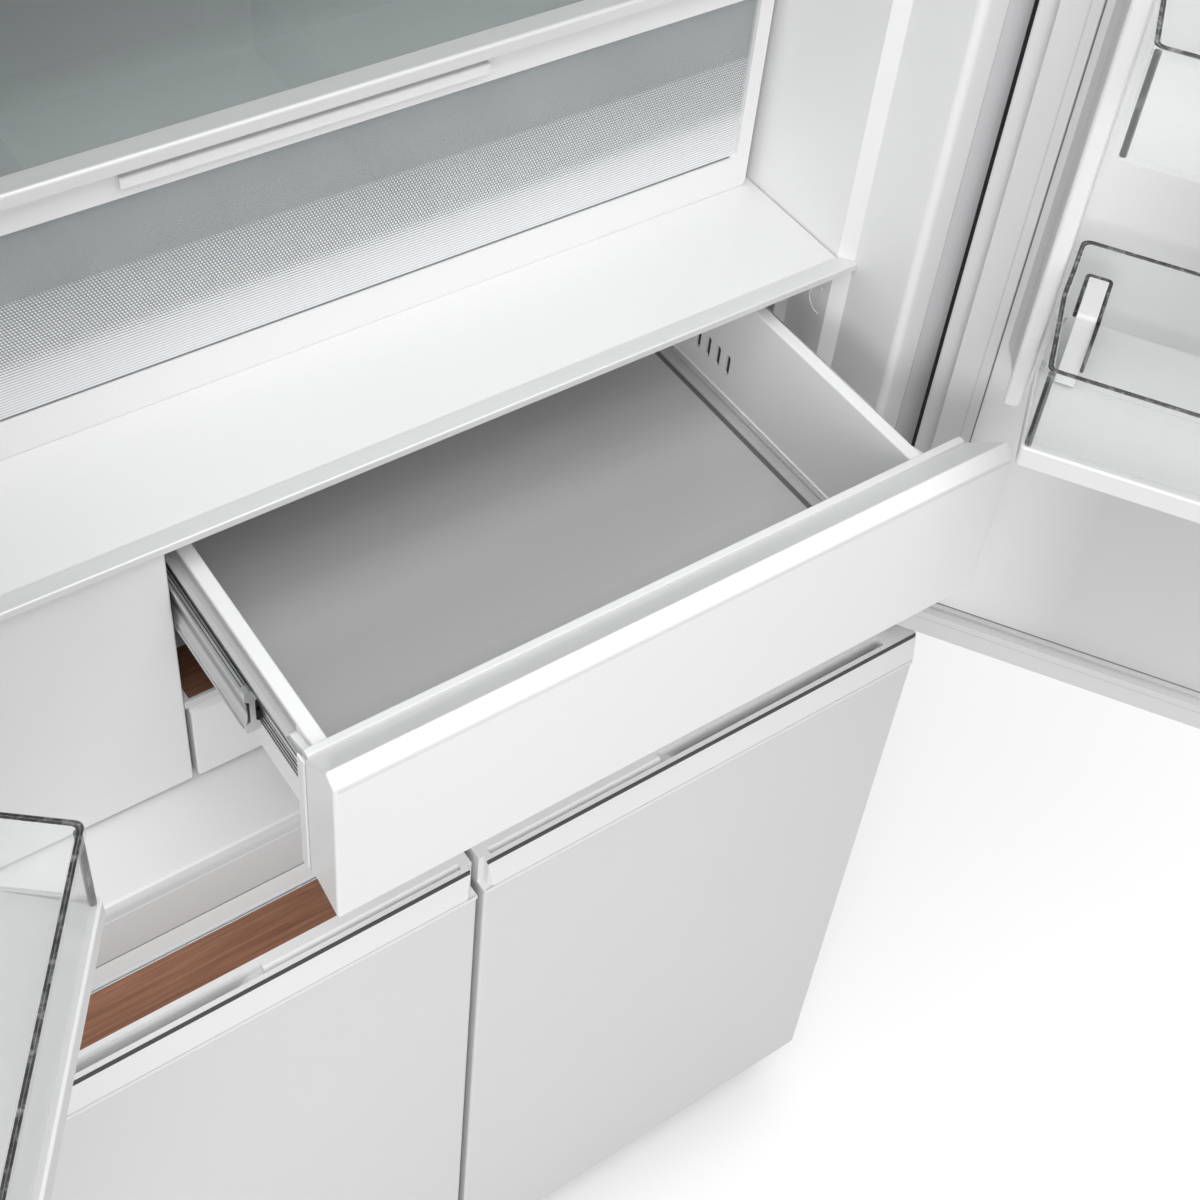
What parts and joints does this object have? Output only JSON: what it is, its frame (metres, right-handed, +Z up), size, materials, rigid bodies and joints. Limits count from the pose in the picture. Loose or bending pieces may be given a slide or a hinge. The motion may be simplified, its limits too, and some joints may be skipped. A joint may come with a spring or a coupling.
{
  "type": "multi-door refrigerator",
  "caption": "Free-standing multi-door refrigerator with split upper and lower doors, a chilled drawer on slides, small inner drawers, a crisper, door bins, shelves and freezer drawers.",
  "frame": {"origin": "on the floor, midway between the sides, directly below the front face of the closed doors", "axes": "X runs to the right seen from the front, Y from the front to the back, Z up"},
  "size_m": [1.3, 0.9652, 1.83],
  "materials": {
    "white_steel": "satin",
    "door_white": "gloss",
    "rear_steel": "matte",
    "white_plastic": "satin",
    "liner_white": "satin",
    "grey_plastic": "matte",
    "seal": "matte",
    "clear_plastic": "clear",
    "shelf_glass": "clear",
    "satin_trim": "satin",
    "dark_trim": "satin",
    "walnut": "satin",
    "tray_steel": "brushed",
    "slide_steel": "zinc plated",
    "hinge_steel": "satin",
    "lamp": "frosted",
    "black_plastic": "matte",
    "black_paint": "satin"
  },
  "bodies": {
    "cabinet": {"cabinet_shell": "white_steel", "back_panel": "rear_steel", "cross_rail": "white_steel", "fridge_liner": "liner_white", "freezer_liner": "liner_white", "divider_panel": "white_plastic", "cover_plate": "white_plastic", "cover_trim": "satin_trim", "deli_plate": "grey_plastic", "deli_wood_strip": "walnut", "shelf_glass": "shelf_glass", "air_duct": "white_plastic", "lamp_cover": "lamp", "slide_fixed": "slide_steel", "plinth": "grey_plastic", "base_rails": "rear_steel", "levelling_feet": "black_plastic", "compressor_cover": "rear_steel", "compressor": "black_paint", "hinges_top": "hinge_steel", "hinge_covers": "white_plastic", "hinges_mid": "hinge_steel", "hinges_bottom": "hinge_steel"},
    "roller": {"rear_roller": "black_plastic"},
    "upper_door_right": {"door_r_panel": "door_white", "door_r_liner": "liner_white", "door_r_gasket": "seal", "bin_r_base": "white_plastic", "bins_r": "clear_plastic"},
    "bottle_holder": {"snugger": "white_plastic", "snugger_clip": "clear_plastic"},
    "upper_door_left": {"door_l_panel": "door_white", "door_l_liner": "liner_white", "door_l_gasket": "seal", "bin_l_base": "white_plastic", "bins_l": "clear_plastic"},
    "centre_flap": {"mullion_flap": "white_plastic"},
    "lower_door_right": {"lower_r_panel": "door_white", "lower_r_cap": "white_plastic", "lower_r_strip": "dark_trim", "lower_r_wood": "walnut", "lower_r_liner": "liner_white", "lower_r_gasket": "seal"},
    "lower_door_left": {"lower_l_panel": "door_white", "lower_l_cap": "white_plastic", "lower_l_strip": "dark_trim", "lower_l_wood": "walnut", "lower_l_liner": "liner_white", "lower_l_gasket": "seal"},
    "chilled_drawer": {"chilled_front": "white_plastic", "chilled_box": "white_plastic", "chilled_tray": "tray_steel", "slide_inner": "slide_steel"},
    "slide_members": {"slide_middle": "slide_steel"},
    "small_drawer": {"small_drawer": "white_plastic"},
    "flex_drawer": {"flex_drawer": "white_plastic"},
    "crisper": {"crisper_box": "clear_plastic", "crisper_front": "white_plastic"},
    "freezer_drawers_right": {"freezer_drawers_r": "clear_plastic"},
    "freezer_drawers_left": {"freezer_drawers_l": "clear_plastic"}
  },
  "joints": [
    {"name": "upper_door_right_hinge", "type": "hinge", "parent": "cabinet", "child": "upper_door_right", "pos_m": [0.4017, 0.0317, 1.27], "axis": [0, 0, 1], "range_deg": [-124, 3]},
    {"name": "upper_door_left_hinge", "type": "hinge", "parent": "cabinet", "child": "upper_door_left", "pos_m": [-0.4017, 0.0317, 1.27], "axis": [0, 0, -1], "range_deg": [-124, 3]},
    {"name": "centre_flap_hinge", "type": "hinge", "parent": "upper_door_left", "child": "centre_flap", "pos_m": [-0.59005, -0.30047, 1.2655], "axis": [0, 0, 1], "range_deg": [-90, 0]},
    {"name": "bottle_holder_slide", "type": "slide", "parent": "upper_door_right", "child": "bottle_holder", "axis": [0.5592, -0.829, 0], "range_m": [0, 0.2]},
    {"name": "lower_door_right_hinge", "type": "hinge", "parent": "cabinet", "child": "lower_door_right", "pos_m": [0.4017, 0.0317, 0.4], "axis": [0, 0, 1], "range_deg": [0, 120]},
    {"name": "lower_door_left_hinge", "type": "hinge", "parent": "cabinet", "child": "lower_door_left", "pos_m": [-0.4017, 0.0317, 0.4], "axis": [0, 0, -1], "range_deg": [0, 120]},
    {"name": "chilled_drawer_slide", "type": "slide", "parent": "cabinet", "child": "chilled_drawer", "axis": [0, -1, 0], "range_m": [-0.1943, 0.0048]},
    {"name": "slide_members_slide", "type": "slide", "parent": "cabinet", "child": "slide_members", "axis": [0, -1, 0], "range_m": [-0.134, 0.0033]},
    {"name": "small_drawer_slide", "type": "slide", "parent": "cabinet", "child": "small_drawer", "axis": [0, -1, 0], "range_m": [0, 0.22]},
    {"name": "flex_drawer_slide", "type": "slide", "parent": "cabinet", "child": "flex_drawer", "axis": [0, -1, 0], "range_m": [0, 0.24]},
    {"name": "crisper_slide", "type": "slide", "parent": "cabinet", "child": "crisper", "axis": [0, -1, 0], "range_m": [0, 0.19]},
    {"name": "freezer_drawers_right_slide", "type": "slide", "parent": "cabinet", "child": "freezer_drawers_right", "axis": [0, -1, 0], "range_m": [0, 0.18]},
    {"name": "freezer_drawers_left_slide", "type": "slide", "parent": "cabinet", "child": "freezer_drawers_left", "axis": [0, -1, 0], "range_m": [0, 0.18]},
    {"name": "roller_spin", "type": "hinge", "parent": "cabinet", "child": "roller", "pos_m": [0, 0.56, 0.015], "axis": [1, 0, 0], "continuous": true}
  ],
  "couplings": [
    {"joint": "upper_door_left_hinge", "follows": "upper_door_right_hinge", "ratio": 1},
    {"joint": "chilled_drawer_slide", "follows": "upper_door_right_hinge", "m_per_rad": 0.08977},
    {"joint": "slide_members_slide", "follows": "upper_door_right_hinge", "m_per_rad": 0.0619},
    {"joint": "freezer_drawers_right_slide", "follows": "lower_door_right_hinge", "m_per_rad": 0.0859},
    {"joint": "freezer_drawers_left_slide", "follows": "lower_door_left_hinge", "m_per_rad": 0.0859}
  ]
}
